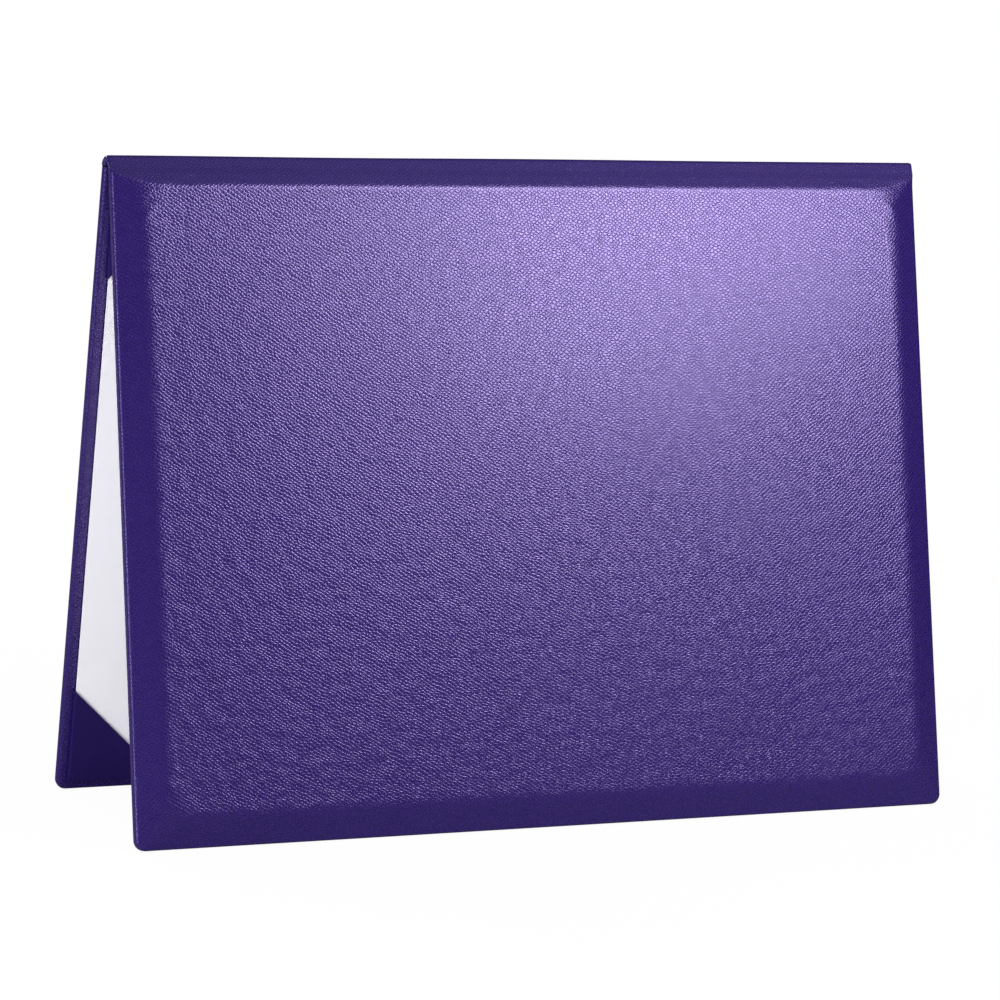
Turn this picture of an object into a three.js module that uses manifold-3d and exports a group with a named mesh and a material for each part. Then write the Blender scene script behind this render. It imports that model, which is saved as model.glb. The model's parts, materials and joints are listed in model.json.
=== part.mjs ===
// A padded diploma cover: two cloth-covered boards on a soft spine, standing as a tent on their free edges.
// Millimetres. X runs along the hinge, the padded front cover is on the -Y side and +Z is up.
import * as THREE from 'three';
import { mergeVertices } from 'three/addons/utils/BufferGeometryUtils.js';
import Module from 'manifold-3d';

const wasm = await Module();
wasm.setup();

// Covers
const coverWidth = 197;
const coverHeight = 149;
const boardThickness = 1.3;
const clothThickness = 0.35;
const layerGap = 0.2;
const cornerRadius = 2.4;
const edgeRadius = 0.9;
const turnIn = 10;
const mitreGap = 0.25;

// Foam pad on the front board: a flat slope, then a roll up to the field
const foamEdge = 0.4;
const foamRise = 2.2;
const bevelFlat = 3.8;
const bevelWidth = 8.4;
const fieldCornerRadius = 6.5;
const hingeBevelShare = 0.55;
const shoulderDrop = 1.2;
const shoulderInset = 1.4;

// Lining cards and the corner pockets folded round the one in the back cover
const liningThickness = 0.3;
const borderWidth = 2.3;
const pocketCloth = 0.2;
const pocketLeg = 23;
const pocketFlap = 5;
const pocketEdgeRadius = 0.4;
const cardCornerRadius = 0.5;

// Hinge and spine
const tentAngle = 11.4;
const hingeReach = 0.8;
const closedClearance = 0.2;
const hingeFlange = 8;
const ridgeHeight = 2.2;
const ridgeBack = 0.3;
const ridgeBulge = 0.1;
const ridgeDrop = 0.1;
const ridgeRound = 1.4;
const foldSide = 0.1;
const foldRound = 1.5;
const spineEndRadius = 1.2;

// Fineness of the curves
const cornerSteps = 7;
const arcSteps = 5;
const padSteps = 9;

// Stack of layers, measured from the hinge axis outwards in each cover
const frontStack = layerGap + liningThickness;
const backStack = 3 * layerGap + 2 * pocketCloth + liningThickness;
const innerPlane = (frontStack + backStack + closedClearance) / 2;
const skinDepth = clothThickness + layerGap;
const boardLow = innerPlane + skinDepth;
const boardHigh = boardLow + boardThickness;
const foamLow = boardHigh + layerGap;
const backOuter = boardHigh + skinDepth;
const frontOuter = foamLow + foamEdge + skinDepth;
const freeEdge = -(hingeReach + coverHeight);
const halfWidth = coverWidth / 2;
const tilt = THREE.MathUtils.degToRad(tentAngle);

// Materials
const purpleCloth = new THREE.MeshStandardMaterial({ color: 0x34256b, roughness: 0.42, metalness: 0 });
const pocketPurple = new THREE.MeshStandardMaterial({ color: 0x2c1f5c, roughness: 0.45, metalness: 0 });
const whiteCard = new THREE.MeshStandardMaterial({ color: 0xf6f5fd, roughness: 0.75, metalness: 0 });
const greyBoard = new THREE.MeshStandardMaterial({ color: 0x9b958b, roughness: 0.9, metalness: 0 });
const foam = new THREE.MeshStandardMaterial({ color: 0xe9e6dc, roughness: 0.95, metalness: 0 });

// Solids
function solidFrom(positions, indices) {
  const mesh = new wasm.Mesh({
    numProp: 3,
    vertProperties: new Float32Array(positions),
    triVerts: new Uint32Array(indices),
  });
  return new wasm.Manifold(mesh);
}

function solidOf(geometry) {
  geometry.deleteAttribute('normal');
  geometry.deleteAttribute('uv');
  const merged = mergeVertices(geometry, 1e-5);
  return solidFrom(merged.attributes.position.array, merged.index.array);
}

function block(x0, x1, y0, y1, z0, z1) {
  const box = new THREE.BoxGeometry(x1 - x0, y1 - y0, z1 - z0);
  box.translate((x0 + x1) / 2, (y0 + y1) / 2, (z0 + z1) / 2);
  return solidOf(box);
}

function meshOf(solid, name, material) {
  const { vertProperties, triVerts } = solid.getMesh();
  const geometry = new THREE.BufferGeometry();
  geometry.setAttribute('position', new THREE.BufferAttribute(new Float32Array(vertProperties), 3));
  geometry.setIndex(new THREE.BufferAttribute(new Uint32Array(triVerts), 1));
  geometry.computeVertexNormals();
  const mesh = new THREE.Mesh(geometry, material);
  mesh.name = name;
  return mesh;
}

// A closed solid through a stack of rounded rectangles that all have the same number of points.
function loft(rings) {
  const count = rings[0].length;
  const positions = rings.flat().flatMap((p) => [p.x, p.y, p.z]);
  const indices = [];
  for (let k = 0; k + 1 < rings.length; k += 1) {
    for (let i = 0; i < count; i += 1) {
      const a = k * count + i;
      const b = k * count + ((i + 1) % count);
      indices.push(a, b, b + count, a, b + count, a + count);
    }
  }
  const top = (rings.length - 1) * count;
  for (let i = 1; i + 1 < count; i += 1) {
    indices.push(0, i + 1, i);
    indices.push(top, top + i, top + i + 1);
  }
  return solidFrom(positions, indices);
}

// One rounded rectangle, with its own corner radius at the free edge and at the hinge edge.
function roundedRing({ half, low, high, lowRadius, highRadius, z }) {
  const corners = [
    [-half + lowRadius, low + lowRadius, lowRadius, Math.PI],
    [half - lowRadius, low + lowRadius, lowRadius, 1.5 * Math.PI],
    [half - highRadius, high - highRadius, highRadius, 0],
    [-half + highRadius, high - highRadius, highRadius, 0.5 * Math.PI],
  ];
  return corners.flatMap(([x, y, radius, start]) =>
    new THREE.ArcCurve(x, y, radius, start, start + Math.PI / 2, false)
      .getPoints(cornerSteps)
      .map((p) => new THREE.Vector3(p.x, p.y, z)));
}

// The cover's edge in section, from the inner face round the edge to the outer face.
// Each point has its inset from the edge, its height z and its outward normal.
function edgeProfile(outer, rise) {
  const rollWidth = bevelWidth - bevelFlat;
  const slope = rise / (bevelFlat + rollWidth / 2);
  const lastAngle = Math.atan2(1, slope);
  const points = [];
  const arc = (from, to, centre) => {
    for (let k = 0; k <= arcSteps; k += 1) {
      const angle = from + ((to - from) * k) / arcSteps;
      points.push({
        inset: edgeRadius * (1 - Math.cos(angle)),
        z: centre + edgeRadius * Math.sin(angle),
        inward: Math.cos(angle),
        up: Math.sin(angle),
        pad: 0,
      });
    }
  };
  arc(-Math.PI / 2, 0, innerPlane + edgeRadius);
  arc(0, lastAngle, outer - edgeRadius);
  const rim = points[points.length - 1];
  for (let k = 1; rise > 0 && k <= padSteps; k += 1) {
    const pad = k === 1 ? bevelFlat : bevelFlat + (rollWidth * (k - 1)) / (padSteps - 1);
    const t = (pad - bevelFlat) / rollWidth;
    const steep = slope * (1 - 3 * t ** 2 + 2 * t ** 3);
    const length = Math.hypot(1, steep);
    points.push({
      inset: rim.inset + pad,
      z: rim.z + slope * (bevelFlat + rollWidth * (t - t ** 3 + t ** 4 / 2)),
      inward: steep / length,
      up: 1 / length,
      pad,
    });
  }
  return points;
}

// The whole body of a cover, shrunk by depth below its outer surface.
// Where it is padded, its hinge edge has a sloping shoulder and a steeper bevel.
function coverBody(outer, rise, depth) {
  const profile = edgeProfile(outer, rise);
  const shoulderFloor = shoulderHeight(outer, rise);
  const rings = profile.map((point) => {
    const inset = point.inset + depth * point.inward;
    const share = point.pad / bevelWidth;
    const climb = Math.min(Math.max(point.z - shoulderFloor, 0) / shoulderDrop, 1);
    const hingeInset = hingeReach + depth + climb * shoulderInset + point.pad * hingeBevelShare;
    const sharpFree = cornerRadius - Math.min(point.inset, edgeRadius) - depth;
    const sharpHinge = layerGap;
    return roundedRing({
      half: halfWidth - inset,
      low: freeEdge + inset,
      high: -hingeInset,
      lowRadius: sharpFree + (fieldCornerRadius - sharpFree) * share,
      highRadius: sharpHinge + (fieldCornerRadius - sharpHinge) * share,
      z: point.z - depth * point.up,
    });
  });
  return loft(rings);
}

function slab(low, high) {
  return block(-coverWidth, coverWidth, 2 * freeEdge, coverHeight, low, high);
}

// The height of the cloth's outer surface where the pad or the board's edge begins.
function rimHeight(outer, rise) {
  const wrapPoints = edgeProfile(outer, rise).filter((point) => point.pad === 0);
  return wrapPoints[wrapPoints.length - 1].z;
}

// The height at which the hinge edge's sloping shoulder starts, or the rim's where nothing is padded.
function shoulderHeight(outer, rise) {
  return rimHeight(outer, rise) - (rise > 0 ? shoulderDrop : 0);
}

// The cloth round a cover: wrapped over three edges and turned in, open at the hinge edge.
function clothSkin(outer, rise) {
  const underCloth = shoulderHeight(outer, rise) - clothThickness;
  const mouth = block(
    -halfWidth + clothThickness, halfWidth - clothThickness,
    -hingeReach - 2 * clothThickness, 0,
    0, underCloth,
  );
  const window = block(
    -halfWidth + turnIn, halfWidth - turnIn,
    freeEdge + turnIn, 0,
    0, boardLow,
  );
  let skin = coverBody(outer, rise, 0)
    .subtract(coverBody(outer, rise, clothThickness))
    .subtract(mouth)
    .subtract(window);
  for (const side of [-1, 1]) {
    const length = Math.SQRT2 * (turnIn - edgeRadius);
    const cut = new THREE.BoxGeometry(length, mitreGap, 2 * skinDepth);
    cut.rotateZ((side * 3 * Math.PI) / 4);
    const middle = (turnIn + edgeRadius) / 2;
    cut.translate(side * (halfWidth - middle), freeEdge + middle, innerPlane);
    skin = skin.subtract(solidOf(cut));
  }
  return skin;
}

function boardSolid(outer, rise) {
  return coverBody(outer, rise, skinDepth).intersect(slab(0, boardHigh));
}

function foamSolid() {
  return coverBody(frontOuter, foamRise, skinDepth).intersect(slab(foamLow, 2 * frontOuter + foamRise));
}

// A card inside a cover, set in from the cover's edges, lying between two heights over the hinge axis.
function card(inset, low, high, radius) {
  const ring = (shrink, z) => roundedRing({
    half: halfWidth - inset - shrink,
    low: freeEdge + inset + shrink,
    high: -hingeReach - inset - shrink,
    lowRadius: Math.max(radius - shrink, layerGap / 2),
    highRadius: Math.max(radius - shrink, layerGap / 2),
    z,
  });
  return { ring, solid: () => loft([ring(0, low), ring(0, high)]) };
}

const cardInset = borderWidth + pocketCloth + layerGap;

function frontLining() {
  return card(cardInset, innerPlane - frontStack, innerPlane - layerGap, cardCornerRadius).solid();
}

const backCardHigh = innerPlane - 2 * layerGap - pocketCloth;
const backCardLow = backCardHigh - liningThickness;

function backLining() {
  return card(cardInset, backCardLow, backCardHigh, cardCornerRadius).solid();
}

// The cloth that would wrap the whole back card: a front sheet, side walls and a flap turned under.
function pocketJacket() {
  const front = innerPlane - backStack;
  const foot = innerPlane - layerGap;
  const wrap = card(borderWidth, front, foot, cardCornerRadius + pocketCloth + layerGap);
  const rings = [];
  for (let k = 0; k <= arcSteps; k += 1) {
    const angle = (k / arcSteps) * (Math.PI / 2);
    const shrink = pocketEdgeRadius * (1 - Math.sin(angle));
    rings.push(wrap.ring(shrink, front + pocketEdgeRadius * (1 - Math.cos(angle))));
  }
  rings.push(wrap.ring(0, foot));
  const slotRadius = cardCornerRadius + layerGap;
  const slot = card(borderWidth + pocketCloth, backCardLow - layerGap, backCardHigh + layerGap, slotRadius);
  const under = card(borderWidth + pocketCloth + pocketFlap, backCardHigh, innerPlane, slotRadius);
  return loft(rings).subtract(slot.solid()).subtract(under.solid());
}

// The corner of the jacket that one pocket keeps, cut along its diagonal mouth.
function pocketSolid(jacket, sideX, atHinge) {
  const cornerX = sideX * (halfWidth - borderWidth);
  const cornerY = atHinge ? -hingeReach - borderWidth : freeEdge + borderWidth;
  const legX = -sideX * pocketLeg;
  const legY = atHinge ? -pocketLeg : pocketLeg;
  const triangle = new THREE.Shape([
    new THREE.Vector2(cornerX - legX, cornerY - legY),
    new THREE.Vector2(cornerX + 2 * legX, cornerY - legY),
    new THREE.Vector2(cornerX - legX, cornerY + 2 * legY),
  ]);
  const prism = new THREE.ExtrudeGeometry(triangle, { depth: 2 * innerPlane + backStack, bevelEnabled: false });
  prism.translate(0, 0, -backStack);
  return jacket.intersect(solidOf(prism));
}

// Points of each cover at rest, in the Y-Z plane with the hinge axis at its origin.
// reach runs from the axis down the cover and out is the distance from it outwards.
function frontPoint(reach, out) {
  return new THREE.Vector2(
    -out * Math.cos(tilt) - reach * Math.sin(tilt),
    out * Math.sin(tilt) - reach * Math.cos(tilt),
  );
}

function backPoint(reach, out) {
  const p = frontPoint(reach, out);
  return new THREE.Vector2(-p.x, p.y);
}

// Straight runs joined by rounded corners, as points from the first run to the last.
function roundedRun(corners, round) {
  const path = new THREE.Path();
  path.moveTo(corners[0].x, corners[0].y);
  for (let k = 1; k + 1 < corners.length; k += 1) {
    const corner = corners[k];
    const before = corners[k - 1].clone().sub(corner);
    const after = corners[k + 1].clone().sub(corner);
    const reach = Math.min(round, before.length() / 2, after.length() * 0.8);
    const start = corner.clone().addScaledVector(before.normalize(), reach);
    const end = corner.clone().addScaledVector(after.normalize(), reach);
    path.lineTo(start.x, start.y);
    path.quadraticCurveTo(corner.x, corner.y, end.x, end.y);
  }
  const last = corners[corners.length - 1];
  path.lineTo(last.x, last.y);
  return path.getPoints(arcSteps + 3);
}

// The same run moved sideways, to its right for a positive distance.
function beside(run, distance) {
  return run.map((p, k) => {
    const before = run[Math.max(k - 1, 0)];
    const after = run[Math.min(k + 1, run.length - 1)];
    const along = after.clone().sub(before).normalize();
    return new THREE.Vector2(p.x + along.y * distance, p.y - along.x * distance);
  });
}

// A section in the Y-Z plane carried along the hinge from x0 to x1.
function alongHinge(outline, x0, x1) {
  const geometry = new THREE.ExtrudeGeometry(new THREE.Shape(outline), { depth: x1 - x0, bevelEnabled: false });
  geometry.applyMatrix4(new THREE.Matrix4().makeBasis(
    new THREE.Vector3(0, 1, 0), new THREE.Vector3(0, 0, 1), new THREE.Vector3(1, 0, 0),
  ));
  geometry.translate(x0, 0, 0);
  return solidOf(geometry);
}

const spineFoot = hingeReach - layerGap;
const shoulderFoot = spineFoot - clothThickness;
const frontShoulder = shoulderHeight(frontOuter, foamRise);

// The spine cloth's outer surface, from the front cover's shoulder over the ridge to the back cover's.
const ridge = new THREE.Vector2(ridgeBack, ridgeHeight);
const spineRun = roundedRun([
  frontPoint(shoulderFoot, frontShoulder),
  ridge,
  backPoint(-ridgeDrop, backOuter + ridgeBulge),
  backPoint(spineFoot, backOuter),
], ridgeRound);

// The fold of the inner cloth, from one board's inner edge up under the spine and down to the other's.
function foldRun() {
  const start = frontPoint(shoulderFoot, frontShoulder);
  const share = (foldSide - start.x) / (ridge.x - start.x);
  const roof = start.y + share * (ridge.y - start.y);
  const level = innerPlane + clothThickness;
  return roundedRun([
    frontPoint(spineFoot, level),
    new THREE.Vector2(foldSide, roof - 2 * clothThickness - layerGap),
    backPoint(spineFoot, level),
  ], foldRound);
}

function sheetOutline(run, thickness) {
  return [...run, ...beside(run, thickness).reverse()];
}

// The spine cloth: a roof from shoulder to shoulder whose ends are folded down and hemmed under.
function spineCloth() {
  const fold = foldRun();
  const inner = beside(spineRun, clothThickness);
  const feet = [backPoint(2 * hingeFlange, backOuter - clothThickness), frontPoint(2 * hingeFlange, frontShoulder)];
  const body = [...spineRun, ...beside(fold, clothThickness).reverse()];
  const hollow = [...inner, ...fold.slice().reverse()];
  const wallStart = halfWidth - clothThickness;
  const hemStart = halfWidth - turnIn;
  return alongHinge(body, -halfWidth, halfWidth)
    .intersect(spineEnvelope(0))
    .subtract(alongHinge(hollow, -wallStart, wallStart).intersect(spineEnvelope(clothThickness)))
    .subtract(alongHinge([...inner, ...feet], -hemStart, hemStart));
}

// A block over the whole spine whose upper corners, seen from the front, are rounded.
function spineEnvelope(shrink) {
  const side = halfWidth - shrink;
  const round = spineEndRadius - shrink;
  const top = Math.max(...spineRun.map((p) => p.y)) - shrink;
  const depth = 2 * (frontOuter + backOuter);
  const outline = new THREE.Shape();
  outline.moveTo(-side, -depth);
  outline.lineTo(side, -depth);
  outline.absarc(side - round, top - round, round, 0, Math.PI / 2);
  outline.absarc(-side + round, top - round, round, Math.PI / 2, Math.PI);
  const geometry = new THREE.ExtrudeGeometry(outline, { depth, bevelEnabled: false, curveSegments: cornerSteps });
  geometry.translate(0, 0, -depth / 2);
  geometry.rotateX(Math.PI / 2);
  return solidOf(geometry);
}

// The strip of cloth glued inside, across the fold and onto both boards between the side turn-ins.
function hingeStrip() {
  const fold = foldRun();
  const level = innerPlane + clothThickness;
  const run = [frontPoint(hingeReach + hingeFlange, level), ...fold, backPoint(hingeReach + hingeFlange, level)];
  const reach = halfWidth - turnIn - layerGap;
  return alongHinge(sheetOutline(run, clothThickness), -reach, reach);
}

// A cover's own frame: X along the hinge, Y up the cover to the hinge axis at Y = 0, Z outwards.
function coverFrame(name, facesBack) {
  const tipped = new THREE.Group();
  tipped.rotation.x = Math.PI / 2 - tilt;
  const frame = new THREE.Group();
  frame.name = name;
  frame.rotation.z = facesBack ? Math.PI : 0;
  frame.add(tipped);
  return { frame, tipped };
}

// Front cover
const front = coverFrame('front_cover', false);
front.tipped.add(
  meshOf(boardSolid(frontOuter, foamRise), 'front_board', greyBoard),
  meshOf(foamSolid(), 'front_foam_pad', foam),
  meshOf(clothSkin(frontOuter, foamRise), 'front_leatherette', purpleCloth),
  meshOf(frontLining(), 'front_lining', whiteCard),
);

// Back cover, whose own X runs towards the viewer's left
const back = coverFrame('back_cover', true);
back.tipped.add(
  meshOf(boardSolid(backOuter, 0), 'back_board', greyBoard),
  meshOf(clothSkin(backOuter, 0), 'back_leatherette', purpleCloth),
  meshOf(backLining(), 'back_lining', whiteCard),
);
const jacket = pocketJacket();
for (const [height, atHinge] of [['upper', true], ['lower', false]]) {
  for (const [hand, sideX] of [['left', 1], ['right', -1]]) {
    back.tipped.add(meshOf(pocketSolid(jacket, sideX, atHinge), `pocket_${height}_${hand}`, pocketPurple));
  }
}

// Spine
const spine = new THREE.Group();
spine.add(
  meshOf(spineCloth(), 'spine_leatherette', purpleCloth),
  meshOf(hingeStrip(), 'inner_hinge_strip', purpleCloth),
);

// The tent stands on the floor with its box centred over the origin.
const diplomaCover = new THREE.Group();
diplomaCover.name = 'diploma_cover';
diplomaCover.add(front.frame, back.frame, spine);
diplomaCover.updateMatrixWorld(true);
const reachBox = new THREE.Box3().setFromObject(diplomaCover, true);
diplomaCover.position.set(0, -(reachBox.min.y + reachBox.max.y) / 2, -reachBox.min.z);
diplomaCover.updateMatrixWorld(true);

export default diplomaCover;
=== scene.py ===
"""A padded diploma cover standing as a tent: its looks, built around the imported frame. Metres throughout."""

import json
import math

import bpy
import numpy as np
from mathutils import Matrix


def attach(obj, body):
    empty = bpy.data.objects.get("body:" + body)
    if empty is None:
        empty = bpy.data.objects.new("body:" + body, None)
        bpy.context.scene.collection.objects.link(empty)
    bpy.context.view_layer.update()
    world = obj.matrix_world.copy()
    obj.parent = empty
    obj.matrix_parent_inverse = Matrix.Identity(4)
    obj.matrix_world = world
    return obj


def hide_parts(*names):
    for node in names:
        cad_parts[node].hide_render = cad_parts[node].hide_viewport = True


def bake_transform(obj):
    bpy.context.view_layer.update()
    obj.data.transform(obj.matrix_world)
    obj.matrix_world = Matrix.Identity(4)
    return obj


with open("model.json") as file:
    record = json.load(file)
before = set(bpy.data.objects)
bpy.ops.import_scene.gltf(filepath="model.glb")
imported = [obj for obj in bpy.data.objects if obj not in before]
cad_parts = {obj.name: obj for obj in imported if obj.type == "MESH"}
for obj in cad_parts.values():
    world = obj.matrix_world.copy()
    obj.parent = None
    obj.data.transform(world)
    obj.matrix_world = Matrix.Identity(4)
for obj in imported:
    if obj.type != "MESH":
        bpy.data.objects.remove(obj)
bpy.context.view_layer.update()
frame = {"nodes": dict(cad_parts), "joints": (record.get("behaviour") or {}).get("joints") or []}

MM = 0.001

# The tent: both covers hang from one axis, each leaning out by the same tilt.
hinge = frame["joints"][0]
AXIS_Y, AXIS_Z = hinge["pos_m"][1], hinge["pos_m"][2]
TILT = math.radians(hinge["range_deg"][1]) / 2
COS, SIN = math.cos(TILT), math.sin(TILT)
FRONT, BACK = -1, 1


def to_world(x, reach, out, side):
    """Points of a cover in the scene's frame: reach runs from the axis down the cover, out runs outwards from it."""
    y = AXIS_Y + side * (out * COS + reach * SIN)
    z = AXIS_Z + out * SIN - reach * COS
    return np.stack(np.broadcast_arrays(x, y, z), axis=-1)


def cover_box(node, side):
    """Least and greatest (x, reach, out) of a CAD node, measured in its own cover's directions."""
    mesh = frame["nodes"][node].data
    points = np.zeros(len(mesh.vertices) * 3, np.float32)
    mesh.vertices.foreach_get("co", points)
    x, y, z = points.reshape(-1, 3).astype(float).T
    across, down = side * (y - AXIS_Y), z - AXIS_Z
    local = np.stack([x, across * SIN - down * COS, across * COS + down * SIN])
    return local.min(1), local.max(1)


FRONT_HIGH = cover_box("front_leatherette", FRONT)[1]
BACK_LOW, BACK_HIGH = cover_box("back_leatherette", BACK)

# Sizes that the frame doesn't give
CLOTH = 0.35 * MM
SKIN = CLOTH - 0.03 * MM
STRIP_CLOTH = CLOTH - 0.05 * MM
LAYER_GAP = 0.2 * MM
STRIP_FLANGE = 8 * MM
SHARP_CORNER = 0.02 * MM
EDGE_ROUND = 0.9 * MM
TURN_IN = 10 * MM
FREE_CORNER = 2.4 * MM
BEVEL_FLAT, BEVEL = 3.8 * MM, 8.4 * MM
FIELD_CORNER = 6.5 * MM
PAD_RISE = 2.2 * MM
CROWN = 0.5 * MM
HINGE_SHARE = 0.46
SHOULDER_DROP, SHOULDER_INSET = 1.2 * MM, 1.4 * MM
END_SPREAD = 0.36
RIDGE = (0.3 * MM, 2.5 * MM)
FOLD = (0.1 * MM, 1.15 * MM)
FOLD_REACH = 0.25 * MM

HALF = float(BACK_HIGH[0])
NEAR, FAR = float(BACK_LOW[1]), float(BACK_HIGH[1])
INNER = float(BACK_LOW[2])
BACK_OUTER = float(BACK_HIGH[2])
FRONT_RIM = float(FRONT_HIGH[2]) - PAD_RISE
SLOPE = 2 * PAD_RISE / (BEVEL_FLAT + BEVEL)
FRONT_OUTER = FRONT_RIM + EDGE_ROUND * (1 - math.cos(math.atan(SLOPE)))


def smooth(t):
    """0 to 1 with level ends: 3t^2 - 2t^3."""
    t = np.clip(t, 0, 1)
    return t * t * (3 - 2 * t)


def mesh_object(name, points, faces):
    """A smooth-shaded mesh piece at the origin from an array of points and an array of faces."""
    mesh = bpy.data.meshes.new(name)
    mesh.from_pydata(points.reshape(-1, 3).tolist(), [], [list(map(int, f)) for f in faces])
    mesh.polygons.foreach_set("use_smooth", np.ones(len(mesh.polygons), bool))
    mesh.update()
    piece = bpy.data.objects.new(name, mesh)
    bpy.context.scene.collection.objects.link(piece)
    return piece


def grid_faces(rows, columns, start=0):
    """The quads of a grid of points stored row by row."""
    index = start + np.arange(rows * columns).reshape(rows, columns)
    quads = [index[:-1, :-1], index[1:, :-1], index[1:, 1:], index[:-1, 1:]]
    return np.stack(quads, axis=-1).reshape(-1, 4)


def thicken(piece, thickness, offset=-1.0):
    """Gives a sheet its thickness, on the side away from its normals for offset -1. Its open edges are
    sharp, so that two sheets that meet there shade as one."""
    mesh = piece.data
    loops = np.zeros(len(mesh.loops), np.int32)
    mesh.loops.foreach_get("edge_index", loops)
    open_edge = np.bincount(loops, minlength=len(mesh.edges)) == 1
    mesh.edges.foreach_set("use_edge_sharp", open_edge)
    solid = piece.modifiers.new("thickness", "SOLIDIFY")
    solid.thickness = thickness
    solid.offset = offset
    solid.use_rim = True
    return piece


# Rounded rectangles that all have the same number of points
CORNER_STEPS = np.array([0, 0.25, 0.5, 0.8, 1.1, 1.5, 2, 2.6, 3.4, 4.4, 5.6, 7, 8.6, 10.4, 12.5]) * MM
LONG_STEPS, SHORT_STEPS = 70, 52


def side_offsets(length, count):
    """Distances along one side: close together near its two corners and even between them."""
    reach = CORNER_STEPS[-1]
    middle = np.linspace(reach, length - reach, count)[1:-1]
    return np.concatenate([CORNER_STEPS, middle, (length - CORNER_STEPS)[::-1]])


def side_curve(length, count, start_round, end_round):
    """One side as (along, inwards): straight, with half of an arc of each radius at its ends.
    An offset q inside a radius r stands at 45 degrees times q / r round that arc."""
    q = side_offsets(length, count)
    along, inwards = q.copy(), np.zeros_like(q)
    for radius, near_end in ((start_round, False), (end_round, True)):
        from_end = length - q if near_end else q
        inside = from_end < radius
        turn = math.pi / 4 * (1 + from_end[inside] / radius)
        place = radius * (1 - np.cos(turn))
        along[inside] = length - place if near_end else place
        inwards[inside] = radius * (1 - np.sin(turn))
    return along, inwards


def rounded_ring(inset, top, free_round, hinge_round):
    """The ring's (x, reach) points: free edge, right side, hinge edge, left side."""
    wide = 2 * (HALF - inset)
    tall = FAR - inset - top
    left, right, low = -HALF + inset, HALF - inset, FAR - inset
    a, b = side_curve(wide, LONG_STEPS, free_round, free_round)
    free_edge = np.stack([left + a, low - b], -1)
    a, b = side_curve(tall, SHORT_STEPS, free_round, hinge_round)
    right_side = np.stack([right - b, low - a], -1)
    a, b = side_curve(wide, LONG_STEPS, hinge_round, hinge_round)
    hinge_edge = np.stack([right - a, top + b], -1)
    a, b = side_curve(tall, SHORT_STEPS, hinge_round, free_round)
    left_side = np.stack([left + b, top + a], -1)
    return [free_edge, right_side, hinge_edge, left_side]


def wrap_levels(outer, last):
    """The cloth's section from the turn-in's inner edge round the board's edge to the outer rim.
    Each level is (inset, out, free corner's radius)."""
    turn = TURN_IN - np.array([0, 0.15, 0.5, 2, 4.5, 7, 8.6]) * MM
    levels = [(t, INNER + 0.06 * MM * math.exp(-((TURN_IN - t) / MM) ** 2 * 8), 0.4 * MM) for t in turn]
    for angle in np.linspace(-math.pi / 2, 0, 8):
        inset = EDGE_ROUND * (1 - math.cos(angle))
        levels.append((inset, INNER + EDGE_ROUND * (1 + math.sin(angle)), FREE_CORNER - inset))
    for angle in np.linspace(0, last, 8):
        inset = EDGE_ROUND * (1 - math.cos(angle))
        levels.append((inset, outer - EDGE_ROUND * (1 - math.sin(angle)), FREE_CORNER - inset))
    return levels


def even_coons(ring):
    """The patch inside a ring, with its lines kept as far apart as the ring's own points."""
    bottom, right, top, left = ring
    rows, columns = len(left), len(bottom)
    u = (bottom[:, 0] - bottom[0, 0]) / (bottom[-1, 0] - bottom[0, 0])
    v = (right[:, 1] - right[0, 1]) / (right[-1, 1] - right[0, 1])
    u, v = u[None, :, None], v[:, None, None]
    left_up, top_across = left[::-1], top[::-1]
    ruled = (1 - v) * bottom[None] + v * top_across[None] + (1 - u) * left_up[:, None] + u * right[:, None]
    corners = ((1 - v) * (1 - u) * bottom[0] + (1 - v) * u * bottom[-1]
               + v * (1 - u) * top_across[0] + v * u * top_across[-1])
    return (ruled - corners).reshape(rows * columns, 2)


def corner_puckers(x, reach):
    """Small folds where the cloth is drawn round the field's corners: ripples fanned out from each corner."""
    total = np.zeros_like(x)
    for sign in (-1, 1):
        for edge, strength in ((NEAR + SHOULDER_INSET + BEVEL * HINGE_SHARE, 1.0), (FAR - BEVEL, 0.6)):
            across, down = np.abs(x) * np.sign(x * sign) - (HALF - BEVEL - 3 * MM), np.abs(reach - edge)
            away = np.hypot(across, down)
            fan = np.sin(9 * np.arctan2(down, across) + sign)
            total += strength * 0.09 * MM * fan * np.exp(-((away - 7 * MM) / (5 * MM)) ** 2)
    return total


def waves(x, reach, seed, size, count=5):
    """Gentle unevenness: a sum of sines of about one wavelength in random directions, from -1 to 1."""
    rng = np.random.default_rng(seed)
    total = np.zeros_like(x)
    for _ in range(count):
        angle, phase = rng.uniform(0, math.pi), rng.uniform(0, 2 * math.pi)
        wavelength = size * rng.uniform(0.7, 1.5)
        total += np.sin(2 * math.pi * (x * math.cos(angle) + reach * math.sin(angle)) / wavelength + phase)
    return total / count


def pad_rise(depth):
    """Height of the pad's border over the rim: a flat slope, then a roll that levels out at the field."""
    roll = BEVEL - BEVEL_FLAT
    t = np.clip((depth - BEVEL_FLAT) / roll, 0, 1)
    return SLOPE * (np.clip(depth, 0, BEVEL_FLAT) + roll * (t - t ** 3 + t ** 4 / 2))


def end_spread(x, y, z):
    """How far the folded cloth at the hinge's right end stands out: more towards the ridge, less at the back."""
    behind = np.clip(y - to_world(0.0, NEAR + SHOULDER_INSET, FRONT_RIM, FRONT)[1], 0, 5 * MM)
    above = np.clip((z - AXIS_Z + 4 * MM) / (4 * MM), 0, 1)
    kept = 1 - smooth((y - AXIS_Y - 1 * MM) / (2.4 * MM))
    return END_SPREAD * behind * above * kept * smooth((x - HALF + 25 * MM) / (25 * MM))


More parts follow.
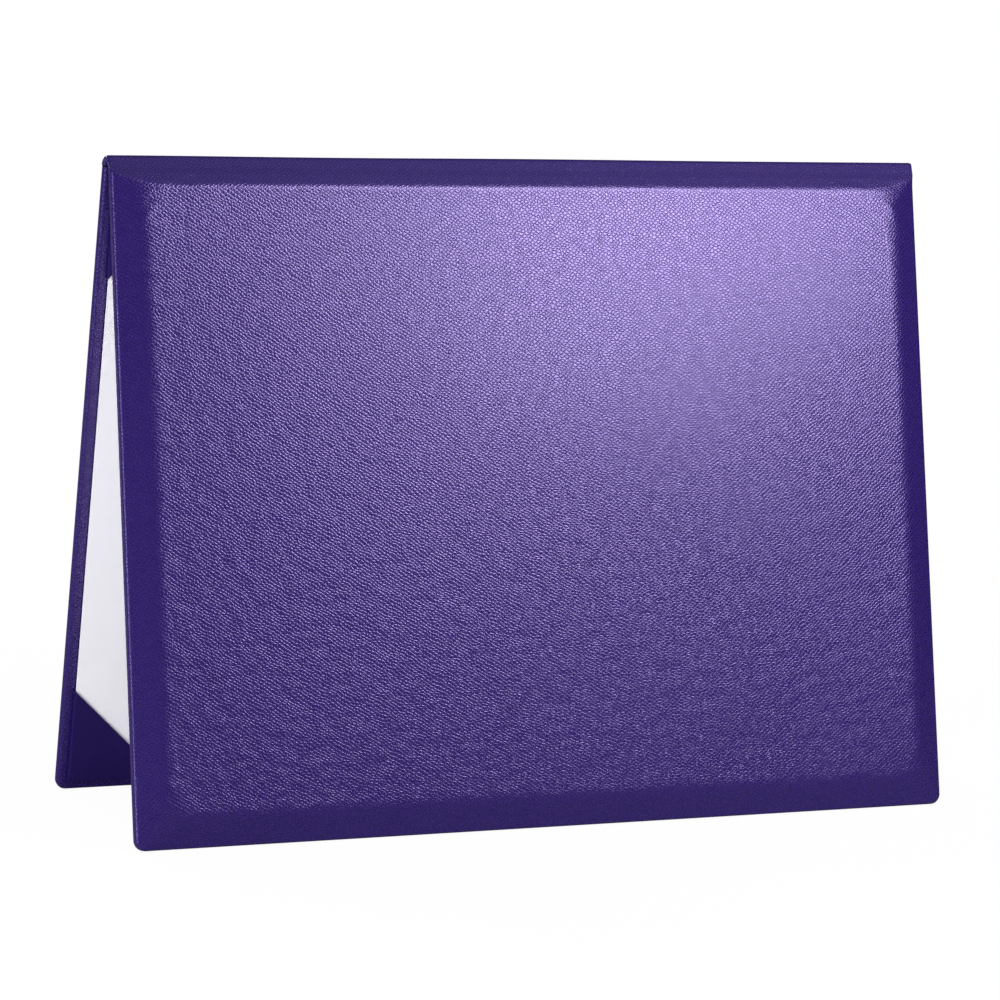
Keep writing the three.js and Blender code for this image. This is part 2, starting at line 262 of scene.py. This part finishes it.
def crown_height(x, reach):
    """The low crown of the padded field, from its own border to its middle."""
    across = HALF - BEVEL
    middle, down = (NEAR + FAR) / 2, (FAR - NEAR) / 2 - BEVEL
    crown = np.cos(math.pi / 2 * np.clip(x / across, -1, 1)) * np.cos(
        math.pi / 2 * np.clip((reach - middle) / down, -1, 1))
    return CROWN * crown


def cover_skin(name, side, outer, padded):
    """A cover's cloth as one sheet: turned in on three sides, wrapped round the board and laid over its face.
    The hinge side is open up to the face. Where the cover is padded, a sloping shoulder joins its rim to the
    board's top edge there, and the pad rises more steeply."""
    levels = wrap_levels(outer, math.pi / 2 - (math.atan(SLOPE) if padded else 0))
    rim_inset, rim = levels[-1][0], levels[-1][1]
    open_levels = len(levels)
    if padded:
        open_levels = sum(out < rim - SHOULDER_DROP for _, out, _ in levels) + 1
        levels.insert(open_levels - 1, (0, rim - SHOULDER_DROP, FREE_CORNER))
        pads = np.concatenate([np.array([0.6, 1.3, 2.0, 2.9]) * MM, np.linspace(BEVEL_FLAT, BEVEL, 13)])
        reaches = SHOULDER_INSET + pads * HINGE_SHARE
        start = 1.7 * MM
    else:
        pads = reaches = np.array([0.3, 0.8, 1.6, 3, 6, 10]) * MM
        start = 1.5 * MM
    outs = [out for _, out, _ in levels]
    rings = []
    for inset, out, free_round in levels:
        climb = min(max((out - rim) / SHOULDER_DROP + 1, 0), 1) if padded else 0
        rings.append(rounded_ring(inset, NEAR + climb * SHOULDER_INSET, free_round, SHARP_CORNER))
    for inset, below in zip(pads, reaches):
        share = inset / pads[-1]
        free_round = start + (FIELD_CORNER - start) * share
        hinge_round = SHARP_CORNER + (FIELD_CORNER - SHARP_CORNER) * share
        rings.append(rounded_ring(rim_inset + inset, NEAR + below, free_round, hinge_round))
        outs.append(rim + (pad_rise(inset) if padded else 0))
    flat = [np.concatenate([s[:-1] for s in ring]) for ring in rings]
    count = len(flat[0])
    field = even_coons(rings[-1])
    points = np.concatenate(flat + [field])
    x, reach = points[:, 0], points[:, 1]
    out = np.concatenate([np.repeat(outs, count), np.full(len(field), outs[-1])])
    on_face = np.arange(len(x)) >= len(levels) * count
    fade = smooth(np.minimum(np.minimum(HALF - np.abs(x), FAR - reach), reach - NEAR) / (8 * MM))
    lift = fade * 0.035 * MM * waves(x, reach, 4 + side, 42 * MM)
    if padded:
        lift += crown_height(x, reach)
        ring_pads = np.concatenate([np.zeros(len(levels)), pads])
        swell = np.concatenate([np.repeat(np.sin(math.pi * np.clip(ring_pads / BEVEL, 0, 1)), count),
                                np.zeros(len(field))])
        lift += swell * 0.07 * MM * waves(x, reach, 21, 24 * MM, 7)
        lift += swell * corner_puckers(x, reach)
    out = out + np.where(on_face, lift, 0)
    points = to_world(x, reach, out, side)
    if padded:
        points[:, 0] += end_spread(*points.T)

    sides = [len(s) - 1 for s in rings[0]]
    hinge_start, hinge_end = sides[0] + sides[1], sides[0] + sides[1] + sides[2]
    ids = np.arange(count)
    faces = []
    for k in range(len(rings) - 1):
        here, there = k * count + ids, k * count + np.roll(ids, -1)
        quads = np.stack([here, there, there + count, here + count], -1)
        if k < open_levels - 1:
            quads = quads[(ids < hinge_start) | (ids >= hinge_end)]
        faces.append(quads)
    rows, columns = len(rings[-1][3]), len(rings[-1][0])
    faces.append(grid_faces(rows, columns, len(rings) * count)[:, ::-1])
    faces = np.concatenate(faces)
    # The field's border shares the last ring's points
    border = np.arange(rows * columns).reshape(rows, columns)
    loop = np.concatenate([border[0, :-1], border[:-1, -1], border[-1, :0:-1], border[:0:-1, 0]])
    swap = np.arange(len(points))
    swap[len(rings) * count + loop] = (len(rings) - 1) * count + ids
    faces = swap[faces]
    used, renumbered = np.unique(faces, return_inverse=True)
    faces = renumbered.reshape(faces.shape)
    piece = mesh_object(name, points[used], faces)
    face_outwards(piece, side)
    return thicken(piece, SKIN)


def face_outwards(piece, side):
    """Turns the sheet so that its largest face, the outer one, looks away from the other cover."""
    mesh = piece.data
    areas = np.zeros(len(mesh.polygons))
    normals = np.zeros(len(mesh.polygons) * 3)
    mesh.polygons.foreach_get("area", areas)
    mesh.polygons.foreach_get("normal", normals)
    normals = normals.reshape(-1, 3)
    if side * (areas @ normals)[1] < 0:
        mesh.flip_normals()


def rounded_run(corners, rounds, steps=14):
    """Straight runs joined by parabolas: each corner is cut off at its own distance and rounded."""
    corners = [np.array(c, float) for c in corners]
    run = [corners[0][None]]
    for k in range(1, len(corners) - 1):
        before, after = corners[k - 1] - corners[k], corners[k + 1] - corners[k]
        start = corners[k] + before / np.linalg.norm(before) * min(rounds[k - 1], np.linalg.norm(before) * 0.5)
        end = corners[k] + after / np.linalg.norm(after) * min(rounds[k - 1], np.linalg.norm(after) * 0.8)
        t = np.linspace(0, 1, steps)[:, None]
        run.append((1 - t) ** 2 * start + 2 * t * (1 - t) * corners[k] + t ** 2 * end)
    run.append(corners[-1][None])
    return np.concatenate(run)


def even_run(run, count):
    """The same run with its points evenly spaced along its length."""
    lengths = np.concatenate([[0], np.cumsum(np.linalg.norm(np.diff(run, axis=0), axis=1))])
    wanted = np.linspace(0, lengths[-1], count)
    return np.stack([np.interp(wanted, lengths, run[:, k]) for k in range(run.shape[1])], -1)


def section_point(reach, out, side):
    """A point of a cover in the (y, z) plane."""
    return to_world(0.0, reach, out, side)[1:]


# The fold's own hem, under the roof
HEM_RUN = even_run(rounded_run([
    section_point(NEAR - FOLD_REACH, INNER + CLOTH, FRONT),
    np.array([AXIS_Y + FOLD[0], AXIS_Z + FOLD[1]]),
    section_point(NEAR - FOLD_REACH, INNER + CLOTH, BACK),
], [1.5 * MM]), 60)

BACK_SHOULDER = section_point(-0.1 * MM, BACK_OUTER + 0.1 * MM, BACK)
BACK_FOOT = section_point(NEAR + 0.02 * MM, BACK_OUTER, BACK)

# The roof goes on in the plane of the front cover's shoulder up to the ridge, then down to the back cover
ROOF_RUN = even_run(rounded_run([
    section_point(NEAR + 0.01 * MM, FRONT_RIM - SHOULDER_DROP, FRONT),
    np.array([AXIS_Y + RIDGE[0], AXIS_Z + RIDGE[1]]),
    BACK_SHOULDER,
    BACK_FOOT,
], [1.5 * MM, 1 * MM]), 60)


def spine_skin():
    """The cloth over the fold: the roof's section carried along the hinge, its two ends rolled under as hems.
    Along its length it goes from one hem, up the end's wall, over the roof, and down to the other hem."""
    hem_round, roof_round, low, high = 0.5 * MM, EDGE_ROUND, 0.12, 0.78
    turn = np.linspace(0, math.pi / 2, 8)
    hem = np.linspace(TURN_IN, hem_round, 8)[:-1]
    roof = np.concatenate([EDGE_ROUND + np.array([0.3, 0.8, 1.3, 2.0]) * MM,
                           np.linspace(EDGE_ROUND + 3 * MM, HALF, 90)])
    inset = np.concatenate([
        hem, hem_round * (1 - np.sin(turn)), np.zeros(3), roof_round * (1 - np.cos(turn)), roof])
    share = np.concatenate([
        np.zeros_like(hem), low * (1 - np.cos(turn)), np.linspace(low, high, 5)[1:-1],
        high + (1 - high) * np.sin(turn), np.ones_like(roof)])
    x = np.concatenate([inset - HALF, (HALF - inset)[::-1][1:]])
    share = np.concatenate([share, share[::-1][1:]])[:, None, None]
    section = (1 - share) * HEM_RUN[None] + share * ROOF_RUN[None]
    wobble = 0.09 * MM * share * waves(x, np.zeros_like(x), 11, 60 * MM)[:, None, None]
    middle = np.sin(np.linspace(0, math.pi, section.shape[1]))[None, :, None]
    section = section + wobble * middle * np.array([0.3, 1.0])
    # The end's rounding fades out towards the front foot, where the shoulder it meets has none
    along = np.linspace(0, 1, section.shape[1])
    from_end = HALF - np.abs(x)
    square = np.clip((3 * MM - from_end) / (3 * MM - EDGE_ROUND), 0, 1) * (share[:, 0, 0] > high)
    x = x[:, None] + np.sign(x)[:, None] * np.minimum(from_end, EDGE_ROUND)[:, None] * square[:, None] * (
        1 - smooth(along / 0.35))
    x = x + end_spread(x, section[..., 0], section[..., 1])
    points = np.concatenate([x[..., None], section], -1)
    piece = mesh_object("spine_skin", points, grid_faces(*section.shape[:2]))
    up = np.zeros(len(piece.data.polygons) * 3)
    piece.data.polygons.foreach_get("normal", up)
    centre = up.reshape(-1, 3)[len(piece.data.polygons) // 2]
    if centre[2] < 0:
        piece.data.flip_normals()
    return thicken(piece, SKIN)


def inner_strip():
    """The cloth glued inside over the fold: flat on each board and folded up between them."""
    flange = NEAR + STRIP_FLANGE
    lie = INNER + CLOTH
    run = np.concatenate([
        even_run(np.stack([section_point(flange, lie, FRONT), section_point(NEAR, lie, FRONT)]), 10)[:-1],
        HEM_RUN,
        even_run(np.stack([section_point(NEAR, lie, BACK), section_point(flange, lie, BACK)]), 10)[1:],
    ])
    half = HALF - TURN_IN - LAYER_GAP
    x = np.linspace(-half, half, 60)
    points = np.concatenate([
        np.broadcast_to(x[:, None, None], (len(x), len(run), 1)),
        np.broadcast_to(run[None], (len(x), *run.shape)),
    ], -1)
    piece = mesh_object("inner_strip", points, grid_faces(len(x), len(run)))
    return thicken(piece, STRIP_CLOTH, 1.0)


# Colours are sRGB as the eye reads them
def linear(red, green, blue):
    """The linear colour of an sRGB value written from 0 to 255."""
    value = np.array([red, green, blue]) / 255
    return (*np.where(value <= 0.04045, value / 12.92, ((value + 0.055) / 1.055) ** 2.4), 1.0)


PURPLE = linear(27, 6, 86)
# Paler purple for the cover's random patches and its pebble tops; the darker valleys between the pebbles are painted
# shade
PURPLE_PATCHES_AND_RIDGE_LIGHT = linear(38, 18, 98)
POCKET_PURPLE = linear(26, 12, 76)
WHITE_CARD = linear(251, 250, 254)
GREY_BOARD = linear(155, 149, 139)
FOAM = linear(232, 229, 218)


GRAIN_CELL = 0.78 * MM
GRAIN_LEAN = 0.6


def add_node(tree, kind, values=None):
    """A shader node with its input values, which are given by the inputs' names or places."""
    node = tree.nodes.new("ShaderNode" + kind)
    for place, value in (values or {}).items():
        node.inputs[place].default_value = value
    return node


def maths(tree, operation, values=None, kind="Math"):
    """A node that calculates with numbers, or with vectors for the kind VectorMath."""
    node = add_node(tree, kind)
    node.operation = operation
    for place, value in (values or {}).items():
        node.inputs[place].default_value = value
    return node


def colour_mix(tree, first, second):
    """A node that goes from one colour to another."""
    node = add_node(tree, "Mix")
    node.data_type = "RGBA"
    node.inputs["A"].default_value = first
    node.inputs["B"].default_value = second
    return node


def node_material(name):
    """A new material, its node tree and its surface shader."""
    material = bpy.data.materials.new(name)
    material.use_nodes = True
    return material, material.node_tree, material.node_tree.nodes["Principled BSDF"]


def pebble_group():
    """Embossed leatherette grain: small pebbles in rows along two crossing diagonals, slightly bent.
    Height is the distance to cell edges of a flat Voronoi pattern, laid over the cover as (x, z + lean y),
    plus fine pores."""
    group = bpy.data.node_groups.new("pebble_grain", "ShaderNodeTree")
    face = group.interface
    face.new_socket("Vector", in_out="INPUT", socket_type="NodeSocketVector")
    face.new_socket("Cell", in_out="INPUT", socket_type="NodeSocketFloat")
    face.new_socket("Height", in_out="OUTPUT", socket_type="NodeSocketFloat")
    face.new_socket("Mask", in_out="OUTPUT", socket_type="NodeSocketFloat")
    nodes, links = group.nodes, group.links
    inside, outside = nodes.new("NodeGroupInput"), nodes.new("NodeGroupOutput")

    parts = add_node(group, "SeparateXYZ")
    links.new(inside.outputs["Vector"], parts.inputs[0])
    upward = maths(group, "MULTIPLY_ADD", {1: GRAIN_LEAN})
    links.new(parts.outputs["Y"], upward.inputs[0])
    links.new(parts.outputs["Z"], upward.inputs[2])
    flat = add_node(group, "CombineXYZ")
    links.new(parts.outputs["X"], flat.inputs["X"])
    links.new(upward.outputs[0], flat.inputs["Y"])

    per_cell = maths(group, "DIVIDE", {0: 1})
    links.new(inside.outputs["Cell"], per_cell.inputs[1])
    scaled = maths(group, "SCALE", kind="VectorMath")
    links.new(flat.outputs[0], scaled.inputs[0])
    links.new(per_cell.outputs[0], scaled.inputs["Scale"])

    warp = add_node(group, "TexNoise", {"Scale": 0.22, "Detail": 1})
    links.new(scaled.outputs[0], warp.inputs["Vector"])
    bent = maths(group, "MULTIPLY_ADD", {1: (1.6, 1.6, 0)}, "VectorMath")
    links.new(warp.outputs["Color"], bent.inputs[0])
    links.new(scaled.outputs[0], bent.inputs[2])

    slant = add_node(group, "Mapping", {"Rotation": (0, 0, math.radians(-50)), "Scale": (0.9, 1.08, 1)})
    links.new(bent.outputs[0], slant.inputs["Vector"])
    cells = add_node(group, "TexVoronoi")
    cells.voronoi_dimensions = "2D"
    cells.feature = "DISTANCE_TO_EDGE"
    cells.inputs["Scale"].default_value = 1
    cells.inputs["Randomness"].default_value = 0.5
    links.new(slant.outputs[0], cells.inputs["Vector"])
    domes = add_node(group, "MapRange")
    domes.interpolation_type = "SMOOTHSTEP"
    domes.inputs["From Max"].default_value = 0.3
    links.new(cells.outputs["Distance"], domes.inputs["Value"])

    pores = add_node(group, "TexNoise", {"Scale": 2.2, "Detail": 2})
    links.new(scaled.outputs[0], pores.inputs["Vector"])
    height = maths(group, "MULTIPLY_ADD", {1: 0.5})
    links.new(pores.outputs["Fac"], height.inputs[0])
    links.new(domes.outputs["Result"], height.inputs[2])
    links.new(height.outputs[0], outside.inputs["Height"])
    links.new(domes.outputs["Result"], outside.inputs["Mask"])
    return group


GRAIN = pebble_group()


def leatherette(name, colour, patches_and_ridge_light, depth, roughness, gleam):
    """Embossed vinyl cloth: pebbled grain, paler on its pebble tops and darker in the valleys between them as
    painted shade, paler in random patches, with a broad lavender gloss.
    """
    material, tree, shader = node_material(name)
    links = tree.links
    place = add_node(tree, "TexCoord")
    grain = tree.nodes.new("ShaderNodeGroup")
    grain.node_tree = GRAIN
    grain.inputs["Cell"].default_value = GRAIN_CELL
    links.new(place.outputs["Object"], grain.inputs["Vector"])

    cloud = add_node(tree, "TexNoise", {"Scale": 45, "Detail": 3})
    links.new(place.outputs["Object"], cloud.inputs["Vector"])
    # Painted shade: the colour is darker in the grain's valleys and paler on the pebble tops, plus random paler
    # patches from the noise
    ridge_light_and_patches = maths(tree, "MULTIPLY_ADD", {1: 0.35})
    links.new(grain.outputs["Mask"], ridge_light_and_patches.inputs[0])
    patch = maths(tree, "MULTIPLY", {1: 0.25})
    links.new(cloud.outputs["Fac"], patch.inputs[0])
    links.new(patch.outputs[0], ridge_light_and_patches.inputs[2])
    mix = colour_mix(tree, colour, patches_and_ridge_light)
    links.new(ridge_light_and_patches.outputs[0], mix.inputs["Factor"])
    links.new(mix.outputs["Result"], shader.inputs["Base Color"])

    gloss = add_node(tree, "MapRange", {"To Min": roughness + 0.1, "To Max": roughness - 0.04})
    links.new(grain.outputs["Mask"], gloss.inputs["Value"])
    links.new(gloss.outputs["Result"], shader.inputs["Roughness"])

    bump = add_node(tree, "Bump", {"Strength": 1, "Distance": depth})
    links.new(grain.outputs["Height"], bump.inputs["Height"])
    links.new(bump.outputs["Normal"], shader.inputs["Normal"])
    shader.inputs["Specular Tint"].default_value = (0.66, 0.52, 1.0, 1.0)
    shader.inputs["Specular IOR Level"].default_value = gleam
    shader.inputs["IOR"].default_value = 1.7
    return material


def plain_stock(name, colour, dark, scale, depth, roughness):
    """Card, board or foam: faint fibres or cells in its colour and its surface."""
    material, tree, shader = node_material(name)
    links = tree.links
    place = add_node(tree, "TexCoord")
    fibre = add_node(tree, "TexNoise", {"Scale": scale, "Detail": 4})
    links.new(place.outputs["Object"], fibre.inputs["Vector"])
    mix = colour_mix(tree, dark, colour)
    links.new(fibre.outputs["Fac"], mix.inputs["Factor"])
    links.new(mix.outputs["Result"], shader.inputs["Base Color"])
    bump = add_node(tree, "Bump", {"Distance": depth})
    links.new(fibre.outputs["Fac"], bump.inputs["Height"])
    links.new(bump.outputs["Normal"], shader.inputs["Normal"])
    shader.inputs["Roughness"].default_value = roughness
    return material


COVER_CLOTH = leatherette("cover_leatherette", PURPLE, PURPLE_PATCHES_AND_RIDGE_LIGHT, 0.034 * MM, 0.28, 1.0)
POCKET_CLOTH = leatherette("pocket_leatherette", POCKET_PURPLE, PURPLE, 0.03 * MM, 0.5, 0.3)
LINING_CARD = plain_stock("lining_card", WHITE_CARD, linear(247, 246, 252), 900, 0.01 * MM, 0.7)
BOARD_STOCK = plain_stock("grey_board", GREY_BOARD, linear(128, 122, 112), 500, 0.05 * MM, 0.9)
PAD_FOAM = plain_stock("pad_foam", FOAM, linear(205, 200, 186), 1500, 0.2 * MM, 0.95)


def dress(piece, material):
    """Gives a piece its one material."""
    piece.data.materials.clear()
    piece.data.materials.append(material)


# The pieces that take the place of the plain cloth solids
front_skin = cover_skin("front_skin", FRONT, FRONT_OUTER, True)
back_skin = cover_skin("back_skin", BACK, BACK_OUTER, False)
spine = spine_skin()
strip = inner_strip()
for piece in (front_skin, back_skin, spine, strip):
    dress(piece, COVER_CLOTH)

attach(front_skin, "front_cover")
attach(back_skin, "back_cover")
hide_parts("front_leatherette")
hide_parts("back_leatherette")
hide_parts("spine_leatherette")
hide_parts("inner_hinge_strip")
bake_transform(spine)
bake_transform(strip)

for node, item in frame["nodes"].items():
    if node.startswith("pocket"):
        dress(item, POCKET_CLOTH)
    elif "lining" in node:
        dress(item, LINING_CARD)
    elif "board" in node:
        dress(item, BOARD_STOCK)
    elif "foam" in node:
        dress(item, PAD_FOAM)
    else:
        dress(item, COVER_CLOTH)


def white_sweep():
    """Floor and backdrop: flat, then a quarter circle, then upright. The camera sees its paper as plain white,
    apart from a share near the tent that keeps the cover's shadow, and highlights see it as grey."""
    radius, run, height = 0.6, 1.6, 2.2
    turn = np.linspace(0, math.pi / 2, 16)
    y = np.concatenate([[-2.5], run + radius * np.sin(turn), [run + radius]])
    z = np.concatenate([[0], radius * (1 - np.cos(turn)), [height]])
    x = np.array([-4.0, 4.0])
    points = np.stack(np.broadcast_arrays(x[:, None], y[None], z[None]), -1)
    piece = mesh_object("white_sweep", points, grid_faces(2, len(y)))

    material, tree, matte = node_material("white_paper_sweep")
    links = tree.links
    matte.inputs["Roughness"].default_value = 1
    matte.inputs["Specular IOR Level"].default_value = 0
    glow = add_node(tree, "Emission")
    seen = add_node(tree, "LightPath")
    paper = colour_mix(tree, (0.9, 0.9, 0.9, 1), (0.2, 0.2, 0.2, 1))
    links.new(seen.outputs["Is Glossy Ray"], paper.inputs["Factor"])
    links.new(paper.outputs["Result"], matte.inputs["Base Color"])
    either = maths(tree, "MAXIMUM")
    links.new(seen.outputs["Is Camera Ray"], either.inputs[0])
    links.new(seen.outputs["Is Transmission Ray"], either.inputs[1])
    place = add_node(tree, "TexCoord")
    spread = maths(tree, "SCALE", {"Scale": 3.2}, "VectorMath")
    links.new(place.outputs["Object"], spread.inputs[0])
    around = add_node(tree, "TexGradient")
    around.gradient_type = "SPHERICAL"
    links.new(spread.outputs[0], around.inputs["Vector"])
    clear = add_node(tree, "MapRange", {"To Min": 1, "To Max": 0.95})
    links.new(around.outputs["Fac"], clear.inputs["Value"])
    share = maths(tree, "MULTIPLY")
    links.new(clear.outputs["Result"], share.inputs[1])
    links.new(either.outputs[0], share.inputs[0])
    mix = add_node(tree, "MixShader")
    links.new(share.outputs[0], mix.inputs["Fac"])
    links.new(matte.outputs[0], mix.inputs[1])
    links.new(glow.outputs[0], mix.inputs[2])
    links.new(mix.outputs[0], tree.nodes["Material Output"].inputs["Surface"])
    piece.data.materials.append(material)
    return piece


white_sweep()


def softbox(name, place, target, size, watts, mirrored=True):
    """A rectangular lamp that faces a point. One that isn't mirrored lights surfaces without a highlight."""
    lamp = bpy.data.lights.new(name, "AREA")
    lamp.shape = "RECTANGLE"
    lamp.size, lamp.size_y = size
    lamp.energy = watts
    item = bpy.data.objects.new(name, lamp)
    item.visible_glossy = mirrored
    bpy.context.scene.collection.objects.link(item)
    away = np.array(place, float) - np.array(target, float)
    away /= np.linalg.norm(away)
    side = np.cross([0, 0, 1], away)
    side /= np.linalg.norm(side)
    up = np.cross(away, side)
    turned = Matrix([[*side], [*up], [*away]]).transposed()
    item.matrix_world = Matrix.Translation(place) @ turned.to_4x4()
    return item


softbox("gloss_light", (0.168, -0.284, 0.3185), (0, -0.01, 0.08), (0.151, 0.278), 1.44)
softbox("fill_light", (-0.95, -0.33, 0.15), (-0.05, 0, 0.07), (0.4, 0.4), 2)
softbox("side_light", (-0.95, -0.45, 0.15), (-0.05, 0, 0.07), (0.6, 0.6), 8.6, mirrored=False)
softbox("front_light", (-0.5, -1.3, 0.9), (0, 0, 0.07), (1.2, 1.2), 4, mirrored=False)
softbox("top_light", (0.45, -0.05, 1.2), (0, 0, 0.14), (0.8, 0.8), 0.7)
softbox("back_light", (-0.5, 1.3, 0.9), (0, 0, 0.07), (0.9, 0.9), 18)

world = bpy.data.worlds.new("studio")
bpy.context.scene.world = world
world.use_nodes = True
world.node_tree.nodes["Background"].inputs["Color"].default_value = (1, 1, 1, 1)
world.node_tree.nodes["Background"].inputs["Strength"].default_value = 0.05

# Camera: a long lens from the front left and a little above, rolled slightly to the right
CAMERA_PLACE = (-0.34138, -0.82173, 0.20244)
CAMERA_YAW, CAMERA_PITCH, CAMERA_ROLL = 22.388, 8.465, 1.983
PICTURE_FOCUS = 3897.1
PICTURE_SIZE = 1000
SENSOR = 36.0


def look(yaw, pitch, roll):
    """The camera's turn: yaw to the right of +Y, pitch down, then a roll about the view."""
    yaw, pitch, roll = map(math.radians, (yaw, pitch, roll))
    level = np.array([math.sin(yaw), math.cos(yaw), 0])
    ahead = level * math.cos(pitch) - np.array([0, 0, math.sin(pitch)])
    right = np.array([math.cos(yaw), -math.sin(yaw), 0])
    up = level * math.sin(pitch) + np.array([0, 0, math.cos(pitch)])
    right, up = right * math.cos(roll) + up * math.sin(roll), up * math.cos(roll) - right * math.sin(roll)
    return Matrix([[*right], [*up], [*(-ahead)]]).transposed()


camera_data = bpy.data.cameras.new("camera")
camera_data.sensor_width = SENSOR
camera_data.lens = SENSOR * PICTURE_FOCUS / PICTURE_SIZE
camera = bpy.data.objects.new("camera", camera_data)
bpy.context.scene.collection.objects.link(camera)
camera.matrix_world = Matrix.Translation(CAMERA_PLACE) @ look(CAMERA_YAW, CAMERA_PITCH, CAMERA_ROLL).to_4x4()
bpy.context.scene.camera = camera
bpy.context.scene.view_settings.view_transform = "Standard"
